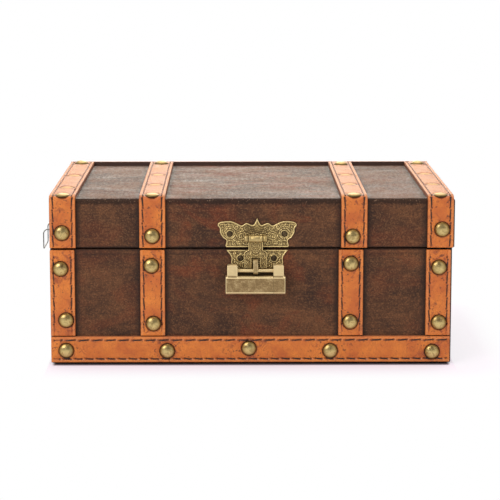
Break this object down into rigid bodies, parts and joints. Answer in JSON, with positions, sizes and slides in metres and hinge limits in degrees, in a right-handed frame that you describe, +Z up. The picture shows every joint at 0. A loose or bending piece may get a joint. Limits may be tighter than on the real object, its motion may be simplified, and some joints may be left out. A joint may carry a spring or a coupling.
{
  "type": "small trunk",
  "caption": "Small flat-topped keepsake trunk with leather straps, dome nails, a hinged lid, a hasp with a sliding-bar padlock and wire bail handles.",
  "frame": {"origin": "centre of the underside of the base, on the surface that the trunk stands on", "axes": "+Z up, +X to the right along the trunk's length, +Y to the rear, so the hasp looks to -Y"},
  "size_m": [0.312, 0.2169, 0.1263],
  "materials": {
    "board": "raw fibreboard",
    "leatherette": "satin, mottled",
    "strap_leather": "satin",
    "lining": "matt flock",
    "felt": "matt",
    "antique_brass": "antique",
    "wire": "dull"
  },
  "bodies": {
    "base": {"base_front_board": "board", "base_rear_board": "board", "base_left_board": "board", "base_right_board": "board", "base_floor_board": "board", "base_cover": "leatherette", "base_lining": "lining", "underside_sheet": "felt", "bottom_band": "strap_leather", "base_nails": "antique_brass", "catch_plate": "antique_brass", "staple": "antique_brass", "catch_screws": "antique_brass", "hinge_base_screws": "antique_brass", "left_hinge_base_leaf": "antique_brass", "right_hinge_base_leaf": "antique_brass", "left_hinge_pin": "antique_brass", "right_hinge_pin": "antique_brass", "left_handle_plate": "antique_brass", "right_handle_plate": "antique_brass", "left_handle_screws": "antique_brass", "right_handle_screws": "antique_brass", "base_strap_left_end": "strap_leather", "base_strap_left_inner": "strap_leather", "base_strap_right_inner": "strap_leather", "base_strap_right_end": "strap_leather"},
    "lid": {"lid_front_board": "board", "lid_rear_board": "board", "lid_left_board": "board", "lid_right_board": "board", "lid_top_board": "board", "lid_cover": "leatherette", "lid_lining": "lining", "lid_rear_band": "strap_leather", "lid_nails": "antique_brass", "hasp_plate": "antique_brass", "hasp_pin": "antique_brass", "hasp_screws": "antique_brass", "hinge_lid_screws": "antique_brass", "left_hinge_lid_leaf": "antique_brass", "right_hinge_lid_leaf": "antique_brass", "lid_strap_left_end": "strap_leather", "lid_strap_left_inner": "strap_leather", "lid_strap_right_inner": "strap_leather", "lid_strap_right_end": "strap_leather"},
    "hasp_flap": {"hasp_flap": "antique_brass"},
    "padlock": {"padlock_body": "antique_brass"},
    "padlock_shackle": {"padlock_shackle": "antique_brass", "padlock_springs": "antique_brass"},
    "left_bail": {"left_bail": "wire"},
    "right_bail": {"right_bail": "wire"}
  },
  "joints": [
    {"name": "lid_open", "type": "hinge", "parent": "base", "child": "lid", "pos_m": [0, 0.1029, 0.085], "axis": [-1, 0, 0], "range_deg": [0, 105]},
    {"name": "hasp_swing", "type": "hinge", "parent": "lid", "child": "hasp_flap", "pos_m": [0.0031, -0.1039, 0.0925], "axis": [-1, 0, 0], "range_deg": [0, 170]},
    {"name": "padlock_swing", "type": "hinge", "parent": "base", "child": "padlock", "pos_m": [0.0031, -0.1063, 0.0697], "axis": [-1, 0, 0], "range_deg": [0, 90]},
    {"name": "shackle_slide", "type": "slide", "parent": "padlock", "child": "padlock_shackle", "axis": [1, 0, 0], "range_m": [0, 0.024], "deforming": ["padlock_springs"]},
    {"name": "left_bail_swing", "type": "hinge", "parent": "base", "child": "left_bail", "pos_m": [-0.1502, 0, 0.0805], "axis": [0, 1, 0], "range_deg": [0, 35]},
    {"name": "right_bail_swing", "type": "hinge", "parent": "base", "child": "right_bail", "pos_m": [0.1502, 0, 0.0805], "axis": [0, -1, 0], "range_deg": [0, 35]}
  ]
}
